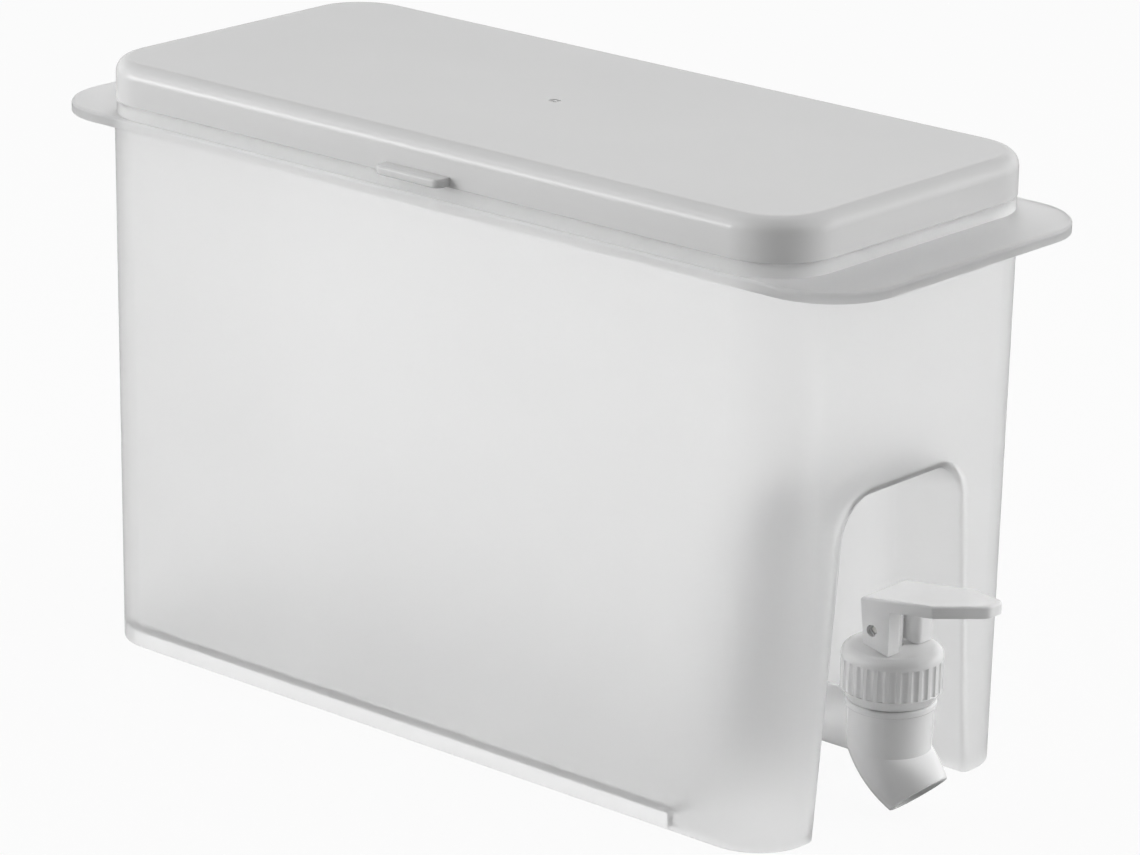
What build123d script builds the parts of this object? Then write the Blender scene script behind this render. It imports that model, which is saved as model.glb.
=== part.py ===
"""Fridge water jug with a tap: a long tapered tank with a lift-off lid, and a push-down
lever tap that stands in a recess at one end.

Millimetres. The origin is the middle of the tank on the surface it stands on.
+X points to the tap end, +Y across the tank, +Z up.
"""
import math
import os

from build123d import *

os.makedirs("parts", exist_ok=True)

# One overrun serves every cut that has to run past a face
overrun = 1.0

# Tank: outer shell
tank_length = 240.0
tank_width = 106.1
wall = 1.8
draft_angle = 0.57
foot_edge = 0.5

# Tank: heights, from the surface it stands on
flange_underside = 147.4
flange_thickness = 2.8
rim_rise = 3.7
foot_height = 4.0
floor_thickness = 2.2
leg_floor = 2.0

# Tank: flange, which runs out into a carrying tab at each end
flange_length = 275.4
flange_width = 107.6
flange_corner = 20.0
flange_round = 0.8
rim_inset = 0.15
rim_corner = 18.0

# Tank: recess for the tap, an arch open at the front and below
recess_half_base = 31.5
recess_half_top = 23.8
recess_ceiling = 87.9
recess_arch_radius = 11.0
recess_depth = 37.5
recess_upright = 36.0
recess_lean = 3.9
recess_back_radius = 22.0
recess_side_radius = 12.0
recess_lip = 2.0
front_flat = 4.55
leg_setback = 34.0

# Lid
lid_height = 11.1
lid_side_inset = 0.25
lid_corner = 17.5
lid_edge = 4.0
lid_wall = 2.0
plug_depth = 7.0
plug_wall = 1.6
plug_gap = 0.3
plug_lead = 0.8
lift_tab_length = 22.5
lift_tab_reach = 4.7
lift_tab_thickness = 2.4
lift_tab_rise = 0.3
lift_tab_round = 2.4
lift_tab_edge = 0.7
gate_radius = 1.6
gate_depth = 0.35
gate_nub_radius = 0.6

# Tap: place
tap_reach = 34.5
inlet_height = 20.3

# Tap body: chamber, collar and neck
body_radius_low = 10.9
body_radius_high = 11.3
body_foot = 16.8
collar_low = 28.0
collar_height = 1.8
collar_radius = 11.8
collar_round = 0.5
chamber_radius = 8.6
neck_radius = 9.9
neck_top = 40.2
thread_depth = 0.35
thread_pitch = 2.0
thread_flank = 0.4
thread_crest = 0.5
seat_top = 16.4
seat_thickness = 1.6
seat_hole_radius = 3.6

# Tap body: spout
spout_forward = 10.1
spout_drop = 11.0
spout_angle = 41.0
spout_mouth_radius = 8.4
spout_bend_share = 0.45
spout_bend_back = 1.0
spout_bend_angle = 16.0
spout_bend_radius = 10.4
spout_wall = 1.3
spout_top_wall = 2.6
spout_lip = 0.4

# Tap body: inlet stem and its flange
inlet_radius = 7.5
inlet_bore = 3.8
inlet_flange_radius = 12.0
inlet_flange_thickness = 2.5
inlet_flange_round = 0.6
inlet_thread_gap = 0.3
inlet_tail = 1.6

# Washers and lock nut on the inlet stem
outer_washer_thickness = 2.0
inner_washer_thickness = 1.5
washer_radius = 12.0
washer_edge = 0.4
nut_across_flats = 22.0
nut_sides = 6
nut_thickness = 9.0
nut_chamfer = 0.9
nut_thread_gap = 0.15

# Bonnet
bonnet_radius = 13.2
bonnet_low = 29.95
bonnet_chamfer_height = 2.8
bonnet_chamfer_depth = 2.0
bonnet_top = 44.2
bonnet_shoulder = 2.6
bonnet_roof = 2.5
bonnet_bore_gap = 0.35
flute_count = 28
flute_radius = 1.3
flute_depth = 0.5
flute_low_margin = 0.2
flute_high_margin = 0.3
stem_gap = 0.2

# Silicone seat cup
plug_radius = 5.2
plug_height = 1.8
cup_waist_radius = 4.6
cup_waist_rise = 4.2
cup_mouth_radius = 7.0
cup_skin = 1.1
cup_shoulder_drop = 2.2
cup_flange_radius = 9.6
cup_sole = 1.6
cup_grip_height = 1.5

# Valve stem
stem_radius = 2.5
stem_foot_radius = 3.3
stem_foot_height = 2.3
foot_gap = 0.3
stem_head = 3.2
stem_crown = 0.6

# Lever and its pin
pin_height = 5.9
pin_radius = 1.1
pin_hole_gap = 0.05
pin_press_gap = 0.02
pin_recess = 1.3
pin_mouth_radius = 1.6
pin_chamfer = 0.25
fulcrum_reach = 5.4
fulcrum_gap = 0.2
cheek_back = 2.5
cheek_back_rise = 1.8
cheek_thickness = 6.2
cheek_round = 2.2
lever_width = 18.2
lever_back = 3.9
lever_back_rise = 8.2
lever_slope = 7.5
lever_thickness = 3.2
lever_shoulder = 18.7
lever_length = 31.6
lever_nose_half = 3.2
lever_nose_radius = 2.9
lever_shoulder_radius = 1.5
lever_edge = 0.7

# Places worked out from the sizes above
tank_corner = tank_width / 2 - recess_half_base - front_flat
rim_top = flange_underside + flange_thickness + rim_rise
floor_top = foot_height + floor_thickness
front_face = tank_length / 2
recess_back = front_face - recess_depth
leg_start = front_face - leg_setback
tap_x = recess_back + tap_reach
inner_face = recess_back - wall
pin_z = bonnet_top + pin_height
roof_underside = bonnet_top - bonnet_roof
stem_bottom = seat_top + cup_sole


def drafted_block(length, width, corner, z_top, z_bottom):
    """A rounded block that narrows downwards by the moulding draft."""
    with BuildPart() as block:
        with BuildSketch(Plane.XY.offset(z_top)):
            RectangleRounded(length, width, corner)
        extrude(amount=z_bottom - z_top, taper=draft_angle)
    return block.part


def straight_block(length, width, corner, z_bottom, z_top):
    """A rounded block with upright sides."""
    with BuildPart() as block:
        with BuildSketch(Plane.XY.offset(z_bottom)):
            RectangleRounded(length, width, corner)
        extrude(amount=z_top - z_bottom)
    return block.part


def recess_block(grow):
    """The space of the recess, or with grow the space that its walls also take."""
    ceiling = recess_ceiling + grow
    back = recess_back - grow
    beyond = front_face + recess_side_radius + grow + overrun
    slope = (recess_half_base - recess_half_top) / recess_ceiling
    half_base = recess_half_base + grow
    levels = (
        (-overrun, half_base + slope * overrun, back),
        (recess_upright, half_base - slope * recess_upright, back),
        (ceiling, half_base - slope * ceiling, back + recess_lean),
    )
    with BuildPart() as block:
        for height, half, start in levels:
            with BuildSketch(Plane.XY.offset(height)):
                with Locations(((start + beyond) / 2, 0)):
                    RectangleRounded(beyond - start, 2 * half, recess_side_radius + grow)
        loft(ruled=True)
        fillet(edges().group_by(Axis.Z)[-1], recess_arch_radius + grow)
        with BuildSketch(Plane.XZ):
            with BuildLine():
                Polyline(
                    (back, -overrun),
                    (back, recess_upright),
                    (back + recess_lean, ceiling),
                    (beyond, ceiling),
                    (beyond, -overrun),
                    close=True,
                )
            make_face()
            fillet(vertices().group_by(Axis.Y)[-1].sort_by(Axis.X)[0], recess_back_radius + grow)
        extrude(amount=half_base + overrun, both=True, mode=Mode.INTERSECT)
    return block.part


def thread_outline(root, crest, start, end):
    """Outline points of as many thread ridges as fit from start to end, as (radius, place)."""
    points = []
    for turn in range(int((end - start) / thread_pitch)):
        low = start + turn * thread_pitch
        points += [
            (root, low),
            (crest, low + thread_flank),
            (crest, low + thread_flank + thread_crest),
            (root, low + 2 * thread_flank + thread_crest),
        ]
    return points


# Tank
tank_outer = drafted_block(tank_length, tank_width, tank_corner, flange_underside, 0)
inner_length = tank_length - 2 * wall
inner_width = tank_width - 2 * wall
cavity_low = drafted_block(
    inner_length, inner_width, tank_corner - wall, flange_underside, leg_floor
)
cavity_high = straight_block(
    inner_length, inner_width, tank_corner - wall, flange_underside, rim_top + overrun
)
sole_cut = drafted_block(
    inner_length, inner_width, tank_corner - wall, flange_underside, -overrun
)
recess_space = recess_block(0)
recess_walls = recess_block(wall)

with BuildPart() as cavity:
    add(cavity_low)
    add(cavity_high)
    with BuildSketch(Plane.XY.offset(-overrun)):
        with Locations((leg_start + wall, 0)):
            Rectangle(tank_length, tank_width, align=(Align.MAX, Align.CENTER))
    extrude(amount=floor_top + overrun, mode=Mode.SUBTRACT)
    add(recess_walls, mode=Mode.SUBTRACT)

with BuildPart() as sole:
    add(sole_cut)
    with BuildSketch(Plane.XY.offset(-overrun)):
        with Locations((leg_start, 0)):
            Rectangle(tank_length, tank_width, align=(Align.MAX, Align.CENTER))
    extrude(amount=foot_height + overrun, mode=Mode.INTERSECT)

with BuildPart() as tank:
    add(tank_outer)
    add(recess_space, mode=Mode.SUBTRACT)
    opening = edges().filter_by(
        lambda e: e.center().X > front_face - wall
        and abs(e.center().Y) < recess_half_base
        and foot_edge < e.center().Z < recess_ceiling + overrun
    )
    fillet(opening, recess_lip)
    fillet(edges().group_by(Axis.Z)[0], foot_edge)
    with BuildSketch(Plane.XY.offset(flange_underside)):
        RectangleRounded(flange_length, flange_width, flange_corner)
    extrude(amount=flange_thickness)
    fillet(edges().group_by(Axis.Z)[-1], flange_round)
    with BuildSketch(Plane.XY.offset(flange_underside + flange_thickness)):
        RectangleRounded(tank_length, tank_width - 2 * rim_inset, rim_corner)
    extrude(amount=rim_rise)
    add(cavity.part, mode=Mode.SUBTRACT)
    add(sole.part, mode=Mode.SUBTRACT)
    with BuildSketch(Plane.YZ.offset(inner_face - overrun)):
        with Locations((0, inlet_height)):
            Circle(inlet_radius + inlet_thread_gap)
    extrude(amount=wall + 2 * overrun, mode=Mode.SUBTRACT)
tank.part.label = "tank"
export_step(tank.part, "parts/tank.step")

# Lid, with a plug that drops inside the tank's rim
lid_length = tank_length
lid_width = tank_width - 2 * lid_side_inset
lid_top = rim_top + lid_height
lid_outer = straight_block(lid_length, lid_width, lid_corner, rim_top, lid_top)
lid_hollow = straight_block(
    lid_length - 2 * lid_wall,
    lid_width - 2 * lid_wall,
    lid_corner - lid_wall,
    rim_top - overrun,
    lid_top - lid_wall,
)
plug_outer = straight_block(
    inner_length - 2 * plug_gap,
    inner_width - 2 * plug_gap,
    tank_corner - wall - plug_gap,
    rim_top - plug_depth,
    rim_top + lid_wall,
)
plug_hollow = straight_block(
    inner_length - 2 * (plug_gap + plug_wall),
    inner_width - 2 * (plug_gap + plug_wall),
    tank_corner - wall - plug_gap - plug_wall,
    rim_top - plug_depth - overrun,
    lid_top - lid_wall,
)

with BuildPart() as lid:
    add(lid_outer)
    fillet(edges().group_by(Axis.Z)[-1], lid_edge)
    add(lid_hollow, mode=Mode.SUBTRACT)
    add(plug_outer)
    chamfer(edges().group_by(Axis.Z)[0], plug_lead)
    add(plug_hollow, mode=Mode.SUBTRACT)
    for side in (-1, 1):
        edge = side * lid_width / 2
        with BuildSketch(Plane.XY.offset(rim_top + lift_tab_rise)):
            with Locations((0, edge)):
                RectangleRounded(lift_tab_length, 2 * lift_tab_reach, lift_tab_round)
            with Locations((0, edge - side * lid_wall)):
                Rectangle(
                    lift_tab_length,
                    2 * lift_tab_reach,
                    align=(Align.CENTER, Align.MAX if side > 0 else Align.MIN),
                    mode=Mode.SUBTRACT,
                )
        extrude(amount=lift_tab_thickness)
    reach = lid_width / 2 + lift_tab_reach
    tips = edges().filter_by(lambda e: abs(e.center().Y) > reach - lift_tab_round)
    fillet(tips, lift_tab_edge)
    with BuildSketch(Plane.XY.offset(lid_top)):
        Circle(gate_radius)
        Circle(gate_nub_radius, mode=Mode.SUBTRACT)
    extrude(amount=-gate_depth, mode=Mode.SUBTRACT)
lid.part.label = "lid"
export_step(lid.part, "parts/lid.step")

# Tap body: chamber, collar and threaded neck turned about the upright axis of the tap
tap_plane = Plane(origin=(tap_x, 0, 0), x_dir=(1, 0, 0), z_dir=(0, -1, 0))
tap_axis = Axis((tap_x, 0, 0), (0, 0, 1))
inlet_plane = Plane(origin=(tap_x, 0, inlet_height), x_dir=(0, 1, 0), z_dir=(-1, 0, 0))
collar_top = collar_low + collar_height
neck_root = neck_radius - thread_depth
seat_under = seat_top - seat_thickness
tilt = math.radians(spout_angle)
mouth_centre = Vector(tap_x + spout_forward, 0, body_foot - spout_drop)
mouth_plane = Plane(
    origin=mouth_centre,
    x_dir=(math.cos(tilt), 0, math.sin(tilt)),
    z_dir=(math.sin(tilt), 0, -math.cos(tilt)),
)
bend = math.radians(spout_bend_angle)
bend_plane = Plane(
    origin=(
        tap_x + spout_forward * spout_bend_share - spout_bend_back,
        0,
        body_foot - spout_drop * spout_bend_share,
    ),
    x_dir=(math.cos(bend), 0, math.sin(bend)),
    z_dir=(math.sin(bend), 0, -math.cos(bend)),
)
flange_face = recess_back + outer_washer_thickness
flange_front = flange_face + inlet_flange_thickness
nut_face = inner_face - inner_washer_thickness
tail_end = nut_face - nut_thickness - inlet_tail
cavity_share = (body_foot - seat_under) / spout_drop
cavity_radius = (
    body_radius_low + (spout_mouth_radius - body_radius_low) * cavity_share - spout_top_wall
)

tail_root = inlet_radius - thread_depth
inlet_start = chamber_radius / 2
tail_plane = Plane(origin=(tap_x, 0, inlet_height), x_dir=(0, 0, 1), z_dir=(0, 1, 0))
tail_axis = Axis((tap_x, 0, inlet_height), (-1, 0, 0))
neck_ridges = thread_outline(neck_root, neck_radius, bonnet_low, neck_top)
tail_ridges = thread_outline(tail_root, inlet_radius, tail_end - tap_x, inner_face - tap_x)

with BuildPart() as inlet:
    with BuildSketch(tail_plane):
        with BuildLine():
            Polyline(
                (0, tail_end - tap_x),
                *tail_ridges,
                (tail_root, flange_face - tap_x),
                (inlet_flange_radius, flange_face - tap_x),
                (inlet_flange_radius, flange_front - tap_x),
                (inlet_radius, flange_front - tap_x),
                (inlet_radius, -inlet_start),
                (0, -inlet_start),
                close=True,
            )
        make_face()
        fillet(vertices().group_by(Axis.X)[-1], inlet_flange_round)
    revolve(axis=tail_axis)

with BuildPart() as tap_body:
    with BuildSketch(tap_plane):
        with BuildLine():
            Polyline(
                (0, body_foot),
                (body_radius_low, body_foot),
                (body_radius_high, collar_low),
                (collar_radius, collar_low),
                (collar_radius, collar_top),
                (neck_root, collar_top),
                *neck_ridges,
                (neck_root, neck_top),
                (0, neck_top),
                close=True,
            )
        make_face()
        fillet(vertices().filter_by(lambda v: v.X > body_radius_high), collar_round)
    revolve(axis=tap_axis)
    with BuildSketch(Plane(origin=(tap_x, 0, body_foot), x_dir=(1, 0, 0), z_dir=(0, 0, -1))):
        Circle(body_radius_low)
    with BuildSketch(bend_plane):
        Circle(spout_bend_radius)
    with BuildSketch(mouth_plane):
        Circle(spout_mouth_radius)
    loft()
    fillet(faces().sort_by(Axis(mouth_centre, mouth_plane.z_dir))[-1].edges(), spout_lip)
    add(inlet.part)
    with BuildSketch(Plane.XY.offset(seat_top)):
        with Locations((tap_x, 0)):
            Circle(chamber_radius)
    extrude(amount=neck_top - seat_top + overrun, mode=Mode.SUBTRACT)
    with BuildSketch(Plane.XY.offset(seat_under - overrun)):
        with Locations((tap_x, 0)):
            Circle(seat_hole_radius)
    extrude(amount=seat_thickness + 2 * overrun, mode=Mode.SUBTRACT)
    with BuildSketch(
        Plane(
            origin=(tap_x + spout_forward * cavity_share, 0, seat_under),
            x_dir=(1, 0, 0),
            z_dir=(0, 0, -1),
        )
    ):
        Circle(cavity_radius)
    with BuildSketch(mouth_plane.offset(overrun)):
        Circle(spout_mouth_radius - spout_wall)
    loft(mode=Mode.SUBTRACT)
    with BuildSketch(inlet_plane.offset(inlet_start)):
        Circle(inlet_bore)
    extrude(amount=tap_x - inlet_start - tail_end + overrun, mode=Mode.SUBTRACT)
tap_body.part.label = "tap_body"
export_step(tap_body.part, "parts/tap_body.step")

# Washers each side of the recess's back wall, and the lock nut inside the tank
with BuildPart() as outer_washer:
    with BuildSketch(inlet_plane.offset(tap_x - flange_face)):
        Circle(washer_radius)
        Circle(inlet_radius + inlet_thread_gap, mode=Mode.SUBTRACT)
    extrude(amount=outer_washer_thickness)
    rims = edges().filter_by(GeomType.CIRCLE).group_by(SortBy.RADIUS)[-1]
    fillet(rims, washer_edge)
outer_washer.part.label = "outer_washer"
export_step(outer_washer.part, "parts/outer_washer.step")

with BuildPart() as inner_washer:
    with BuildSketch(inlet_plane.offset(tap_x - inner_face)):
        Circle(washer_radius)
        Circle(inlet_radius + inlet_thread_gap, mode=Mode.SUBTRACT)
    extrude(amount=inner_washer_thickness)
    rims = edges().filter_by(GeomType.CIRCLE).group_by(SortBy.RADIUS)[-1]
    fillet(rims, washer_edge)
inner_washer.part.label = "inner_washer"
export_step(inner_washer.part, "parts/inner_washer.step")

nut_corner = nut_across_flats / 2 / math.cos(math.pi / nut_sides)
with BuildPart() as lock_nut:
    with BuildSketch(inlet_plane.offset(tap_x - nut_face)):
        RegularPolygon(nut_corner, nut_sides)
        Circle(inlet_radius + nut_thread_gap, mode=Mode.SUBTRACT)
    extrude(amount=nut_thickness)
    with BuildSketch(tail_plane):
        with BuildLine():
            Polyline(
                (0, nut_face - tap_x),
                (nut_corner - nut_chamfer, nut_face - tap_x),
                (nut_corner + overrun, nut_face - tap_x - nut_chamfer - overrun),
                (nut_corner + overrun, nut_face - tap_x - nut_thickness + nut_chamfer + overrun),
                (nut_corner - nut_chamfer, nut_face - tap_x - nut_thickness),
                (0, nut_face - tap_x - nut_thickness),
                close=True,
            )
        make_face()
    revolve(axis=tail_axis, mode=Mode.INTERSECT)
lock_nut.part.label = "lock_nut"
export_step(lock_nut.part, "parts/lock_nut.step")

# Bonnet: a fluted cap that screws on the neck and guides the stem
bonnet_bore = neck_radius + bonnet_bore_gap
stem_bore = stem_radius + stem_gap
flute_low = bonnet_low + bonnet_chamfer_height + flute_low_margin
flute_high = bonnet_top - bonnet_shoulder - flute_high_margin
with BuildPart() as bonnet:
    with BuildSketch(tap_plane):
        with BuildLine():
            Polyline(
                (bonnet_bore, bonnet_low),
                (bonnet_radius - bonnet_chamfer_depth, bonnet_low),
                (bonnet_radius, bonnet_low + bonnet_chamfer_height),
                (bonnet_radius, bonnet_top),
                (stem_bore, bonnet_top),
                (stem_bore, roof_underside),
                (bonnet_bore, roof_underside),
                close=True,
            )
        make_face()
        fillet(vertices().group_by(Axis.Y)[-1].sort_by(Axis.X)[-1], bonnet_shoulder)
    revolve(axis=tap_axis)
    with BuildSketch(Plane.XY.offset(flute_low)):
        with Locations((tap_x, 0)):
            with PolarLocations(bonnet_radius + flute_radius - flute_depth, flute_count):
                Circle(flute_radius)
    extrude(amount=flute_high - flute_low, mode=Mode.SUBTRACT)
bonnet.part.label = "bonnet"
export_step(bonnet.part, "parts/bonnet.step")

# Silicone seat cup: a plug on the seat, a thin bell, and a flange clamped by the bonnet
foot_top = stem_bottom + stem_foot_height
grip_low = foot_top + foot_gap
with BuildPart() as seat_cup:
    with BuildSketch(tap_plane):
        with BuildLine():
            Polyline(
                (0, seat_top),
                (plug_radius, seat_top),
                (plug_radius, seat_top + plug_height),
                (cup_waist_radius, seat_top + cup_waist_rise),
                (cup_mouth_radius, neck_top - cup_shoulder_drop),
                (cup_mouth_radius, neck_top),
                (cup_flange_radius, neck_top),
                (cup_flange_radius, roof_underside),
                (cup_mouth_radius - cup_skin, roof_underside),
                (cup_mouth_radius - cup_skin, neck_top - cup_shoulder_drop),
                (stem_radius + foot_gap, grip_low + cup_grip_height),
                (stem_radius + foot_gap, grip_low),
                (stem_foot_radius + foot_gap, grip_low),
                (stem_foot_radius + foot_gap, stem_bottom),
                (0, stem_bottom),
                close=True,
            )
        make_face()
    revolve(axis=tap_axis)
seat_cup.part.label = "seat_cup"
export_step(seat_cup.part, "parts/seat_cup.step")

# Valve stem: a rod with a foot held in the seat cup, cross-drilled for the lever pin
stem_top = pin_z + stem_head
pin_plane = Plane(origin=(tap_x, 0, pin_z), x_dir=(1, 0, 0), z_dir=(0, -1, 0))
with BuildPart() as valve_stem:
    with BuildSketch(tap_plane):
        with BuildLine():
            Polyline(
                (0, stem_bottom),
                (stem_foot_radius, stem_bottom),
                (stem_foot_radius, foot_top),
                (stem_radius, foot_top),
                (stem_radius, stem_top),
                (0, stem_top),
                close=True,
            )
        make_face()
        fillet(vertices().group_by(Axis.Y)[-1].sort_by(Axis.X)[-1], stem_crown)
    revolve(axis=tap_axis)
    with BuildSketch(pin_plane):
        Circle(pin_radius + pin_press_gap)
    extrude(amount=stem_radius + overrun, both=True, mode=Mode.SUBTRACT)
valve_stem.part.label = "valve_stem"
export_step(valve_stem.part, "parts/valve_stem.step")

# Lever pin
pin_length = lever_width - 2 * pin_recess
with BuildPart() as lever_pin:
    with BuildSketch(pin_plane):
        Circle(pin_radius)
    extrude(amount=pin_length / 2, both=True)
    chamfer(edges().filter_by(GeomType.CIRCLE), pin_chamfer)
lever_pin.part.label = "lever_pin"
export_step(lever_pin.part, "parts/lever_pin.step")

# Lever: a tapered thumb plate over a fork of two cheeks that rock on the bonnet
lever_rise = math.tan(math.radians(lever_slope))
plate_drop = lever_thickness / math.cos(math.radians(lever_slope))


def plate_top(along):
    """Height of the thumb plate's top face, along the lever from the pin."""
    return pin_z + lever_back_rise + (along + lever_back) * lever_rise


def plate_under(along):
    """Height of the thumb plate's underside, along the lever from the pin."""
    return plate_top(along) - plate_drop


cheek_foot = bonnet_top + fulcrum_gap
slot_half = lever_width / 2 - cheek_thickness
with BuildPart() as lever:
    with BuildSketch(tap_plane):
        with BuildLine():
            Polyline(
                (-lever_back, plate_top(-lever_back)),
                (lever_length, plate_top(lever_length)),
                (lever_length, plate_under(lever_length)),
                (fulcrum_reach, plate_under(fulcrum_reach)),
                (fulcrum_reach, cheek_foot),
                (-cheek_back, cheek_foot + cheek_back_rise),
                close=True,
            )
        make_face()
    extrude(amount=lever_width / 2, both=True)
    with BuildSketch(Plane(origin=(tap_x, 0, bonnet_top), z_dir=(0, 0, 1))):
        with BuildLine():
            Polyline(
                (-lever_back - overrun, -lever_width / 2),
                (lever_shoulder, -lever_width / 2),
                (lever_length, -lever_nose_half),
                (lever_length, lever_nose_half),
                (lever_shoulder, lever_width / 2),
                (-lever_back - overrun, lever_width / 2),
                close=True,
            )
        make_face()
        fillet(vertices().group_by(Axis.X)[-1], lever_nose_radius)
        fillet(
            vertices().filter_by(lambda v: abs(v.X - lever_shoulder) < overrun),
            lever_shoulder_radius,
        )
    extrude(amount=plate_top(lever_length) - bonnet_top + overrun, mode=Mode.INTERSECT)
    brow = faces().filter_by(lambda f: f.normal_at().Z > math.cos(2 * math.radians(lever_slope)))
    fillet(brow.edges(), lever_edge)
    with BuildSketch(tap_plane):
        with BuildLine():
            Polyline(
                (-lever_back - overrun, plate_under(-lever_back - overrun)),
                (fulcrum_reach + overrun, plate_under(fulcrum_reach + overrun)),
                (fulcrum_reach + overrun, cheek_foot - overrun),
                (-lever_back - overrun, cheek_foot - overrun),
                close=True,
            )
        make_face()
    extrude(amount=slot_half, both=True, mode=Mode.SUBTRACT)
    slot_edges = edges().filter_by(Axis.Z).filter_by(
        lambda e: abs(e.center().X - tap_x - fulcrum_reach) < overrun
        and abs(e.center().Y) < slot_half + overrun
    )
    fillet(slot_edges, cheek_round)
    with BuildSketch(pin_plane):
        Circle(pin_radius + pin_hole_gap)
    extrude(amount=lever_width / 2 + overrun, both=True, mode=Mode.SUBTRACT)
    for side in (-1, 1):
        with BuildSketch(pin_plane.offset(side * (lever_width / 2 - pin_recess))):
            Circle(pin_mouth_radius)
        extrude(amount=side * (pin_recess + overrun), mode=Mode.SUBTRACT)
lever.part.label = "lever"
export_step(lever.part, "parts/lever.step")
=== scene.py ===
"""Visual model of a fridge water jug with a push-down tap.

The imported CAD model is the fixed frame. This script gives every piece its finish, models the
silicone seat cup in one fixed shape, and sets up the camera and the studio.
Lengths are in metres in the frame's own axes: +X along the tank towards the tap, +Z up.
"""

from __future__ import annotations

import logging
import math
from dataclasses import dataclass
from enum import Enum

import bpy
from mathutils import Matrix, Vector

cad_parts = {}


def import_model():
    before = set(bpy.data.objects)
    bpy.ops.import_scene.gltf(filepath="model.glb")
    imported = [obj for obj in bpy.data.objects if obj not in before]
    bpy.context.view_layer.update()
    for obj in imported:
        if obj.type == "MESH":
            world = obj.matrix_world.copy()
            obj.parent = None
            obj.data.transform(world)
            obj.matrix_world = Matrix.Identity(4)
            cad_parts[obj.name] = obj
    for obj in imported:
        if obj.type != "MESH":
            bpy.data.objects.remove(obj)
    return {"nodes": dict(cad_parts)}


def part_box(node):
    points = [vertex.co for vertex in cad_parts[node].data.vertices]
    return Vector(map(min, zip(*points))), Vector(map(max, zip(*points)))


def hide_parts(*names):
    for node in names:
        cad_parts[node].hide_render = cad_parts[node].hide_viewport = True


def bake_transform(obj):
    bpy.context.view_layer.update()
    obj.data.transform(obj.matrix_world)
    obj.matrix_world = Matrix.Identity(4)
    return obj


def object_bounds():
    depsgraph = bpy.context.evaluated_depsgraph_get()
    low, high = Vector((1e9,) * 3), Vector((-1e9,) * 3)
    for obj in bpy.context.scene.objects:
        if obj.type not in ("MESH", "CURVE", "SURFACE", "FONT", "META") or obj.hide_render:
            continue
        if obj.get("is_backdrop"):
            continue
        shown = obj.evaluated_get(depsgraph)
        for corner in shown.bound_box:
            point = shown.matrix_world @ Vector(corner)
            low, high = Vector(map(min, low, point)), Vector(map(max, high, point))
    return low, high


LOG = logging.getLogger("water_jug")
MM = 0.001


def linear(hex_colour: str) -> tuple[float, float, float, float]:
    """Turns an sRGB hex colour into the linear colour that a socket takes.

    Args:
        hex_colour: six hex digits after a hash mark.

    Returns:
        Red, green, blue and an alpha of one.
    """
    channels = [int(hex_colour[i : i + 2], 16) / 255 for i in (1, 3, 5)]
    low_share, low_slope, offset, power = 0.04045, 12.92, 0.055, 2.4
    values = [
        c / low_slope if c <= low_share else ((c + offset) / (1 + offset)) ** power
        for c in channels
    ]
    return values[0], values[1], values[2], 1.0


def add_node(
    tree: bpy.types.NodeTree,
    kind: str,
    inputs: dict[str | int, object] | None = None,
    **settings: object,
) -> bpy.types.Node:
    """Adds one node to a tree, with its settings, socket values and links.

    Args:
        tree: the node tree that gets the node.
        kind: the node's type name.
        inputs: what goes into each socket, by name or place: a value, or an output to link.
        settings: the node's own settings.

    Returns:
        The new node.
    """
    node = tree.nodes.new(kind)
    for name, value in settings.items():
        setattr(node, name, value)
    for name, value in (inputs or {}).items():
        socket = node.inputs[name]
        if isinstance(value, bpy.types.NodeSocket):
            tree.links.new(value, socket)
        else:
            socket.default_value = value
    return node


class Mix(Enum):
    """Places of the colour sockets on a Mix node, whose names are shared by its data types."""

    COLOUR_A = 6
    COLOUR_B = 7
    COLOUR_RESULT = 2


class Gloss(Enum):
    """How a mould's surface leaves the plastic: the roughness of each."""

    SPARKED = 0.5
    SATIN = 0.22
    POLISHED = 0.2


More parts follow.
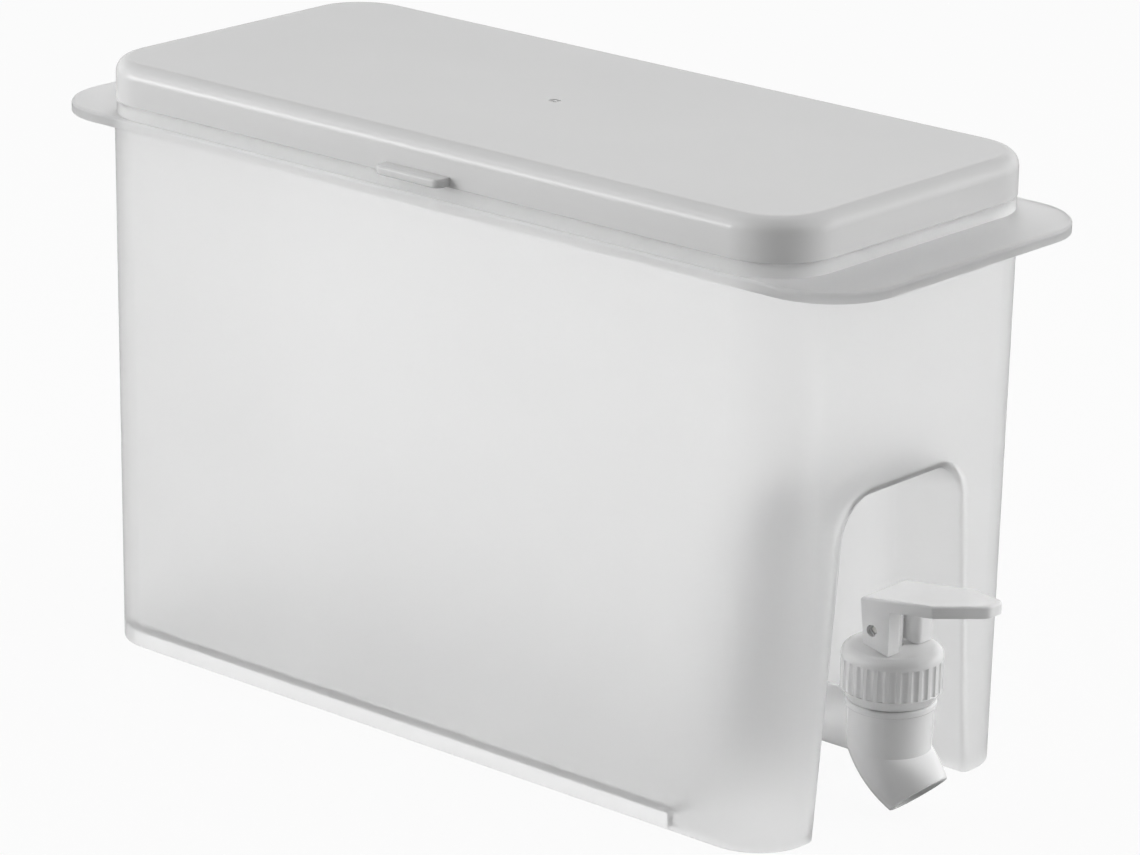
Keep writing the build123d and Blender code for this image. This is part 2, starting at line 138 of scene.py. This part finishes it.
@dataclass(frozen=True)
class MouldedPolymer:
    """A moulded polymer: a dielectric with a fine mould texture and faint flow marks.

    Attributes:
        name: the material's name.
        colour: the lighter tone of the flow marks.
        shade: their darker tone.
        gloss: the surface's mean roughness.
        index: the refractive index.
        passes: share of the light that goes into the plastic, the rest scatters at its face.
        grain: width of the mould texture's pits.
        grain_depth: depth of those pits.
        flow: width of the flow marks.
        flow_roughness: how far the flow marks shift the roughness, either way.
        absorbs: loss of light per metre of plastic.
        flow_octaves: how many finer layers the flow marks have.
        flow_falloff: how strong each of them is against the one before.
        grain_octaves: how many finer layers the pits have.
        grain_falloff: how strong each of them is against the one before.
    """

    name: str
    colour: str
    shade: str
    gloss: float
    index: float
    passes: float
    grain: float
    grain_depth: float
    flow: float
    flow_roughness: float
    absorbs: float
    flow_octaves: float = 3.0
    flow_falloff: float = 0.45
    grain_octaves: float = 2.0
    grain_falloff: float = 0.5

    def material(self) -> bpy.types.Material:
        """Builds the node tree.

        Returns:
            The finished material.
        """
        material = bpy.data.materials.new(self.name)
        material.use_nodes = True
        tree = material.node_tree
        tree.nodes.clear()
        place = add_node(tree, "ShaderNodeTexCoord").outputs["Object"]
        # Flow marks: wide soft clouds, where the melt cooled a little sooner or later
        flow = add_node(
            tree,
            "ShaderNodeTexNoise",
            {
                "Vector": place,
                "Scale": 1 / self.flow,
                "Detail": self.flow_octaves,
                "Roughness": self.flow_falloff,
            },
        )
        tint = add_node(
            tree,
            "ShaderNodeMix",
            {
                "Factor": flow.outputs["Fac"],
                Mix.COLOUR_A.value: linear(self.shade),
                Mix.COLOUR_B.value: linear(self.colour),
            },
            data_type="RGBA",
        )
        sheen = add_node(
            tree,
            "ShaderNodeMapRange",
            {
                "Value": flow.outputs["Fac"],
                "To Min": self.gloss - self.flow_roughness,
                "To Max": self.gloss + self.flow_roughness,
            },
        )
        # Mould texture: the fine pits of a spark-cut or blasted mould, drawn as coarse as shows
        grain = add_node(
            tree,
            "ShaderNodeTexNoise",
            {
                "Vector": place,
                "Scale": 1 / self.grain,
                "Detail": self.grain_octaves,
                "Roughness": self.grain_falloff,
            },
        )
        bump = add_node(
            tree,
            "ShaderNodeBump",
            {"Height": grain.outputs["Fac"], "Strength": 1.0, "Distance": self.grain_depth},
        )
        shader = add_node(
            tree,
            "ShaderNodeBsdfPrincipled",
            {
                "Base Color": tint.outputs[Mix.COLOUR_RESULT.value],
                "Roughness": sheen.outputs["Result"],
                "Normal": bump.outputs["Normal"],
                "Metallic": 0.0,
                "IOR": self.index,
                "Transmission Weight": self.passes,
            },
        )
        sockets = {"Surface": shader.outputs["BSDF"]}
        if self.absorbs > 0:
            # The thicker the plastic along the line of sight, the less light comes through
            murk = add_node(
                tree,
                "ShaderNodeVolumeAbsorption",
                {"Color": linear("#000000"), "Density": self.absorbs},
            )
            sockets["Volume"] = murk.outputs["Volume"]
        add_node(tree, "ShaderNodeOutputMaterial", sockets)
        return material


@dataclass(frozen=True)
class TurnedSteel:
    """Stainless steel wire, cut and turned: fine rings round the pin.

    Attributes:
        name: the material's name.
        colour: the metal's colour.
        roughness: the surface's roughness.
        ring: width of one turning mark.
        depth: depth of the marks.
        wobble: how far the marks stray from true rings.
    """

    name: str = "stainless_steel_turned"
    colour: str = "#C9C8C4"
    roughness: float = 0.42
    ring: float = 0.25 * MM
    depth: float = 0.004 * MM
    wobble: float = 0.6

    def material(self) -> bpy.types.Material:
        """Builds the node tree.

        Returns:
            The finished material.
        """
        material = bpy.data.materials.new(self.name)
        material.use_nodes = True
        tree = material.node_tree
        tree.nodes.clear()
        place = add_node(tree, "ShaderNodeTexCoord").outputs["Object"]
        rings = add_node(
            tree,
            "ShaderNodeTexWave",
            {"Vector": place, "Scale": 1 / self.ring, "Distortion": self.wobble},
            bands_direction="Y",
        )
        bump = add_node(
            tree,
            "ShaderNodeBump",
            {"Height": rings.outputs["Fac"], "Distance": self.depth},
        )
        shader = add_node(
            tree,
            "ShaderNodeBsdfPrincipled",
            {
                "Base Color": linear(self.colour),
                "Metallic": 1.0,
                "Roughness": self.roughness,
                "Normal": bump.outputs["Normal"],
            },
        )
        add_node(tree, "ShaderNodeOutputMaterial", {"Surface": shader.outputs["BSDF"]})
        return material


# Polypropylene from a spark-cut mould: milky, blurs what lies behind it, soft highlights
TANK_POLYPROPYLENE = MouldedPolymer(
    name="polypropylene_frosted_moulded",
    colour="#FFFFFF",
    shade="#FDFDFD",
    gloss=Gloss.SPARKED.value,
    index=1.49,
    passes=0.985,
    grain=0.6 * MM,
    grain_depth=0.01 * MM,
    flow=60 * MM,
    flow_roughness=0.04,
    absorbs=0.02 / MM,
)

# The same polymer with more filler from a satin mould: denser, with a clearer highlight
LID_POLYPROPYLENE = MouldedPolymer(
    name="polypropylene_satin_moulded",
    colour="#E9E9E9",
    shade="#E1E1E1",
    gloss=Gloss.SATIN.value,
    index=1.49,
    passes=0.25,
    grain=0.5 * MM,
    grain_depth=0.006 * MM,
    flow=70 * MM,
    flow_roughness=0.03,
    absorbs=0.05 / MM,
)

# White acetal of the tap: dense, smooth, with a tight highlight
TAP_ACETAL = MouldedPolymer(
    name="acetal_white_moulded",
    colour="#F3F3F3",
    shade="#EDEDED",
    gloss=Gloss.POLISHED.value,
    index=1.48,
    passes=0.0,
    grain=0.4 * MM,
    grain_depth=0.004 * MM,
    flow=12 * MM,
    flow_roughness=0.03,
    absorbs=0.0,
)

# Clear silicone rubber of the seals: soft, milky and matt
SEAL_SILICONE = MouldedPolymer(
    name="silicone_rubber_moulded",
    colour="#EDEDEA",
    shade="#E4E4E0",
    gloss=Gloss.SPARKED.value,
    index=1.41,
    passes=0.3,
    grain=0.35 * MM,
    grain_depth=0.008 * MM,
    flow=8 * MM,
    flow_roughness=0.04,
    absorbs=0.1 / MM,
)


def dress(node: bpy.types.Object, material: bpy.types.Material) -> None:
    """Puts one material in every slot of a piece.

    Args:
        node: the piece.
        material: its finish.
    """
    for place in node.material_slots:
        place.material = material
    LOG.info("%s: %s", node.name, material.name)


@dataclass
class Vessel:
    """The tank and its lid."""

    tank: str = "tank"
    lid: str = "lid"

    def build(self, nodes: dict[str, bpy.types.Object]) -> None:
        """Dresses the tank and the lid.

        Args:
            nodes: the CAD nodes by name.
        """
        dress(nodes[self.tank], TANK_POLYPROPYLENE.material())
        dress(nodes[self.lid], LID_POLYPROPYLENE.material())


@dataclass
class Tap:
    """The tap: body, bonnet, lever, stem, pin, nut and seals."""

    acetal: tuple[str, ...] = ("tap_body", "bonnet", "lever", "lock_nut", "valve_stem")
    silicone: tuple[str, ...] = ("outer_washer", "inner_washer")
    pin: str = "lever_pin"

    def build(self, nodes: dict[str, bpy.types.Object]) -> None:
        """Dresses the tap's nodes and builds its seat cup.

        Args:
            nodes: the CAD nodes by name.
        """
        acetal = TAP_ACETAL.material()
        for name in self.acetal:
            dress(nodes[name], acetal)
        rubber = SEAL_SILICONE.material()
        for name in self.silicone:
            dress(nodes[name], rubber)
        dress(nodes[self.pin], TurnedSteel().material())
        SeatCup().build(rubber)


@dataclass
class SeatCup:
    """The silicone cup that seals the seat; the real one stretches as the stem rises, this one
    keeps one shape.
    """

    node: str = "seat_cup"
    still_body: str = "tank"
    moving_body: str = "seat_cup"
    slot: str = "silicone"
    sides: int = 96
    plug_radius: float = 5.2 * MM
    plug_height: float = 1.8 * MM
    waist_radius: float = 4.6 * MM
    waist_rise: float = 4.2 * MM
    bell_radius: float = 7.0 * MM
    skin: float = 1.1 * MM
    bell_drop: float = 3.7 * MM
    flange_thickness: float = 1.5 * MM
    pocket_radius: float = 3.6 * MM
    grip_radius: float = 2.8 * MM
    sole: float = 1.6 * MM
    foot_height: float = 2.6 * MM
    fold_depth: float = 0.35 * MM
    folds: int = 3
    steps_per_fold: int = 10

    def profile(self, low: Vector, high: Vector) -> list[tuple[float, float]]:
        """Outline of the cup, from the middle of its sole round to the inside of its pocket.

        Args:
            low: lowest corner of the CAD cup.
            high: highest corner of the CAD cup.

        Returns:
            Points as (radius, height).
        """
        flange_radius = (high.x - low.x) / 2
        flange_low = high.z - self.flange_thickness
        waist_z = low.z + self.waist_rise
        bell_z = high.z - self.bell_drop
        steps = self.folds * self.steps_per_fold
        outside, inside = [], []
        for step in range(1, steps):
            share = step / steps
            radius = self.waist_radius + (self.bell_radius - self.waist_radius) * share
            radius -= self.fold_depth * (1 - math.cos(math.tau * self.folds * share)) / 2
            height = waist_z + (bell_z - waist_z) * share
            outside.append((radius, height))
            inside.append((max(radius - self.skin, self.grip_radius), height))
        inside = [p for p in inside if p[1] > low.z + self.sole + self.foot_height]
        return [
            (0, low.z),
            (self.plug_radius, low.z),
            (self.plug_radius, low.z + self.plug_height),
            (self.waist_radius, waist_z),
            *outside,
            (self.bell_radius, bell_z),
            (self.bell_radius, flange_low),
            (flange_radius, flange_low),
            (flange_radius, high.z),
            (self.bell_radius - self.skin, high.z),
            (self.bell_radius - self.skin, bell_z),
            *reversed(inside),
            (self.grip_radius, low.z + self.sole + self.foot_height),
            (self.pocket_radius, low.z + self.sole + self.foot_height),
            (self.pocket_radius, low.z + self.sole),
            (0, low.z + self.sole),
        ]

    def build(self, rubber: bpy.types.Material) -> bpy.types.Object:
        """Turns the profile round the tap's axis.

        Args:
            rubber: the cup's material.

        Returns:
            The cup.
        """
        low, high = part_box(self.node)
        centre = (low + high) / 2
        cup = turned("seat_cup_bell", self.profile(low, high), centre, self.sides)
        cup.data.materials.append(rubber)
        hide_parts(self.node)
        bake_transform(cup)
        LOG.info("%s: %d vertices", cup.name, len(cup.data.vertices))
        return cup


def turned(
    name: str, profile: list[tuple[float, float]], centre: Vector, sides: int
) -> bpy.types.Object:
    """Turns a closed outline round an upright axis.

    Args:
        name: the new piece's name.
        profile: points as (radius, height), the first and last on the axis.
        centre: a point on the axis.
        sides: how many steps make the whole turn.

    Returns:
        The new piece.
    """
    vertices, rings = [], []
    for radius, height in profile:
        start = len(vertices)
        count = sides if radius > 0 else 1
        for side in range(count):
            angle = math.tau * side / sides
            vertices.append(
                (
                    centre.x + radius * math.cos(angle),
                    centre.y + radius * math.sin(angle),
                    height,
                )
            )
        rings.append([start + side % count for side in range(sides)])
    faces = []
    for lower, upper in zip(rings, rings[1:]):
        for side in range(sides):
            after = (side + 1) % sides
            corners = [lower[side], lower[after], upper[after], upper[side]]
            faces.append(list(dict.fromkeys(corners)))
    mesh = bpy.data.meshes.new(name)
    mesh.from_pydata(vertices, [], faces)
    mesh.validate()
    mesh.shade_smooth()
    piece = bpy.data.objects.new(name, mesh)
    bpy.context.scene.collection.objects.link(piece)
    return piece


@dataclass
class StudioCamera:
    """The camera of the reference view: a long lens above and beside the tap end."""

    place: tuple[float, float, float] = (0.8431, -0.9719, 0.4942)
    azimuth: float = 40.69
    elevation: float = 18.03
    roll: float = 1.13
    lens: float = 160.4
    sensor: float = 36.0
    near: float = 0.05
    far: float = 30.0

    def build(self) -> bpy.types.Object:
        """Makes the camera and sets it as the scene's own.

        Returns:
            The camera.
        """
        turn, rise = math.radians(self.azimuth), math.radians(self.elevation)
        forward = Vector(
            (
                -math.sin(turn) * math.cos(rise),
                math.cos(turn) * math.cos(rise),
                -math.sin(rise),
            )
        )
        level = Vector((math.cos(turn), math.sin(turn), 0))
        above = level.cross(forward)
        lean = math.radians(self.roll)
        right = level * math.cos(lean) + above * math.sin(lean)
        up = right.cross(forward)
        data = bpy.data.cameras.new("camera")
        data.lens = self.lens
        data.sensor_width = self.sensor
        data.clip_start = self.near
        data.clip_end = self.far
        camera = bpy.data.objects.new("camera", data)
        camera.matrix_world = Matrix.Translation(self.place) @ Matrix(
            (
                (right.x, up.x, -forward.x, 0),
                (right.y, up.y, -forward.y, 0),
                (right.z, up.z, -forward.z, 0),
                (0, 0, 0, 1),
            )
        )
        bpy.context.scene.collection.objects.link(camera)
        bpy.context.scene.camera = camera
        return camera


@dataclass(frozen=True)
class Softbox:
    """A rectangular lamp turned to the object.

    Attributes:
        name: the lamp's name.
        azimuth: where it stands, in degrees from -Y towards +X.
        elevation: how high it stands, in degrees.
        distance: its distance from the object, in metres.
        width: its width, in metres.
        height: its height, in metres.
        power: its power, in watts.
        mirrored: whether surfaces mirror it, or are only lit by it.
    """

    name: str
    azimuth: float
    elevation: float
    distance: float
    width: float
    height: float
    power: float
    mirrored: bool

    def build(self, target: Vector) -> bpy.types.Object:
        """Makes the lamp.

        Args:
            target: the point that it faces.

        Returns:
            The lamp.
        """
        turn, rise = math.radians(self.azimuth), math.radians(self.elevation)
        away = Vector(
            (
                math.sin(turn) * math.cos(rise),
                -math.cos(turn) * math.cos(rise),
                math.sin(rise),
            )
        )
        data = bpy.data.lights.new(self.name, "AREA")
        data.shape = "RECTANGLE"
        data.size = self.width
        data.size_y = self.height
        data.energy = self.power
        lamp = bpy.data.objects.new(self.name, data)
        lamp.location = target + away * self.distance
        lamp.rotation_mode = "QUATERNION"
        lamp.rotation_quaternion = away.to_track_quat("Z", "Y")
        lamp.visible_glossy = self.mirrored
        bpy.context.scene.collection.objects.link(lamp)
        return lamp


@dataclass
class Studio:
    """A plain pale floor, a white surround and soft lamps.

    Attributes:
        floor_size: side of the square floor, in metres.
        floor_colour: colour of the paper that it is made of.
        floor_glow_share: share of white that the camera sees there, the rest keeps the shadow.
        floor_mirrored: how bright surfaces mirror the floor.
        most_bounces: how often light may cross or leave a surface.
        diffuse_bounces: how often it may scatter.
        ambient: level of the surround where it lights the object.
        dark_level: its level on the camera's side, which keeps the near corner dark.
        dark_azimuth: the middle of that side, in degrees from -Y towards +X.
        dark_from: cosine of the angle to that middle at which the level starts to fall.
        dark_to: cosine at which it has fallen.
        sheen_level: how bright surfaces mirror the surround's foot.
        sheen_top: sine of the elevation up to which they do.
        sheen_end: sine of the elevation from which they mirror the dim ceiling.
        overhead_mirrored: how bright they mirror that ceiling.
        lamps: narrow strips for highlights and broad fills for the walls.
    """

    floor_size: float = 12.0
    floor_colour: str = "#C0C0C0"
    floor_glow_share: float = 0.94
    floor_mirrored: float = 0.33
    most_bounces: int = 32
    diffuse_bounces: int = 12
    ambient: float = 0.6
    dark_level: float = 0.0
    dark_azimuth: float = 40.0
    dark_from: float = -0.3
    dark_to: float = 0.4
    sheen_level: float = 0.72
    sheen_top: float = 0.34
    sheen_end: float = 0.48
    overhead_mirrored: float = 0.08
    lamps: tuple[Softbox, ...] = (
        Softbox(
            name="strip_left",
            azimuth=-43,
            elevation=8,
            distance=1.5,
            width=0.9,
            height=0.4,
            power=5.2,
            mirrored=True,
        ),
        Softbox(
            name="strip_right",
            azimuth=137,
            elevation=8,
            distance=1.5,
            width=0.9,
            height=0.4,
            power=4.4,
            mirrored=False,
        ),
        Softbox(
            name="fill_left",
            azimuth=-45,
            elevation=22,
            distance=1.5,
            width=1.0,
            height=1.2,
            power=16.1,
            mirrored=False,
        ),
        Softbox(
            name="fill_right",
            azimuth=142,
            elevation=22,
            distance=1.5,
            width=1.0,
            height=1.2,
            power=9.5,
            mirrored=False,
        ),
        Softbox(
            name="fill_top",
            azimuth=100,
            elevation=55,
            distance=1.8,
            width=1.2,
            height=1.2,
            power=11.0,
            mirrored=False,
        ),
    )

    def seen(
        self, tree: bpy.types.NodeTree, straight: float, mirrored: float, through: float
    ) -> bpy.types.NodeSocket:
        """A level that differs by the way that a ray looks.

        Args:
            tree: the node tree of the floor.
            straight: the level for rays straight from the camera.
            mirrored: the level for rays that a surface mirrors.
            through: the level for rays that come through the plastic.

        Returns:
            The socket that holds the level, nought for all other rays.
        """
        path = add_node(tree, "ShaderNodeLightPath")
        chosen: bpy.types.NodeSocket | float = 0.0
        for ray, level in (
            ("Is Camera Ray", straight),
            ("Is Glossy Ray", mirrored),
            ("Is Transmission Ray", through),
        ):
            part = add_node(
                tree, "ShaderNodeMath", {0: path.outputs[ray], 1: level}, operation="MULTIPLY"
            )
            most = add_node(
                tree, "ShaderNodeMath", {0: part.outputs[0], 1: chosen}, operation="MAXIMUM"
            )
            chosen = most.outputs[0]
        return chosen

    def floor(self) -> bpy.types.Object:
        """Makes the floor, which glows for the rays that look at it and keeps the shadow.

        Returns:
            The floor.
        """
        half = self.floor_size / 2
        mesh = bpy.data.meshes.new("floor")
        corners = [(-half, -half, 0), (half, -half, 0), (half, half, 0), (-half, half, 0)]
        mesh.from_pydata(corners, [], [(0, 1, 2, 3)])
        floor = bpy.data.objects.new("floor", mesh)
        bpy.context.scene.collection.objects.link(floor)
        material = bpy.data.materials.new("seamless_paper")
        material.use_nodes = True
        tree = material.node_tree
        tree.nodes.clear()
        paper = add_node(tree, "ShaderNodeBsdfDiffuse", {"Color": linear(self.floor_colour)})
        glow = add_node(
            tree,
            "ShaderNodeEmission",
            {"Strength": self.seen(tree, 1.0, self.floor_mirrored, 1.0)},
        )
        share = self.seen(tree, self.floor_glow_share, 1.0, 1.0)
        mix = add_node(
            tree,
            "ShaderNodeMixShader",
            {0: share, 1: paper.outputs[0], 2: glow.outputs[0]},
        )
        add_node(tree, "ShaderNodeOutputMaterial", {"Surface": mix.outputs[0]})
        mesh.materials.append(material)
        floor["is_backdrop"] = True
        return floor

    def surround(self) -> None:
        """Makes the world: white where it is looked at, a plain level where it lights."""
        world = bpy.data.worlds.new("surround")
        bpy.context.scene.world = world
        world.use_nodes = True
        tree = world.node_tree
        tree.nodes.clear()
        turn = math.radians(self.dark_azimuth)
        direction = add_node(tree, "ShaderNodeTexCoord").outputs["Generated"]
        # The surround lights the object mostly from behind, and not from the camera's side
        towards_dark = add_node(
            tree,
            "ShaderNodeVectorMath",
            {0: direction, 1: (math.sin(turn), -math.cos(turn), 0)},
            operation="DOT_PRODUCT",
        )
        brightness = add_node(
            tree,
            "ShaderNodeMapRange",
            {
                "Value": towards_dark.outputs["Value"],
                "From Min": self.dark_from,
                "From Max": self.dark_to,
                "To Min": self.ambient,
                "To Max": self.dark_level,
            },
            interpolation_type="SMOOTHSTEP",
        )
        height = add_node(tree, "ShaderNodeSeparateXYZ", {"Vector": direction})
        # Mirrored rays see the backdrop's bright foot and a dim ceiling
        sheen = add_node(
            tree,
            "ShaderNodeMapRange",
            {
                "Value": height.outputs["Z"],
                "From Min": self.sheen_top,
                "From Max": self.sheen_end,
                "To Min": self.sheen_level,
                "To Max": self.overhead_mirrored,
            },
            interpolation_type="SMOOTHSTEP",
        )
        shaded = add_node(
            tree,
            "ShaderNodeMath",
            {0: sheen.outputs["Result"], 1: brightness.outputs["Result"]},
            operation="MULTIPLY",
        )
        # The sheen is a level of its own, so the ambient level is taken out again
        mirrored = add_node(
            tree,
            "ShaderNodeMath",
            {0: shaded.outputs[0], 1: 1 / self.ambient},
            operation="MULTIPLY",
        )
        path = add_node(tree, "ShaderNodeLightPath")
        lit = add_node(
            tree,
            "ShaderNodeMix",
            {
                "Factor": path.outputs["Is Glossy Ray"],
                "A": brightness.outputs["Result"],
                "B": mirrored.outputs[0],
            },
        )
        # Rays straight from the camera or through the plastic see plain white
        white = add_node(
            tree,
            "ShaderNodeMath",
            {0: path.outputs["Is Camera Ray"], 1: path.outputs["Is Transmission Ray"]},
            operation="MAXIMUM",
        )
        strength = add_node(
            tree,
            "ShaderNodeMapRange",
            {
                "Value": white.outputs[0],
                "To Min": lit.outputs["Result"],
                "To Max": 1.0,
            },
        )
        light = add_node(
            tree,
            "ShaderNodeBackground",
            {"Color": linear("#FFFFFF"), "Strength": strength.outputs["Result"]},
        )
        add_node(tree, "ShaderNodeOutputWorld", {"Surface": light.outputs[0]})

    def build(self, target: Vector) -> None:
        """Makes the floor, the world and the lamps.

        Args:
            target: the point that the lamps face.
        """
        self.floor()
        self.surround()
        for lamp in self.lamps:
            lamp.build(target)
        scene = bpy.context.scene
        scene.view_settings.view_transform = "Standard"
        # Light crosses many thin walls here, and each has two faces
        scene.cycles.max_bounces = self.most_bounces
        scene.cycles.transmission_bounces = self.most_bounces
        scene.cycles.glossy_bounces = self.most_bounces
        scene.cycles.diffuse_bounces = self.diffuse_bounces


def main() -> None:
    """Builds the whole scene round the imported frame."""
    logging.basicConfig(level=logging.INFO, format="%(name)s: %(message)s")
    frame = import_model()
    cad_low, cad_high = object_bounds()
    nodes = frame["nodes"]
    StudioCamera().build()
    Vessel().build(nodes)
    Tap().build(nodes)
    Studio().build((cad_low + cad_high) / 2)


if __name__ == "__main__":
    main()
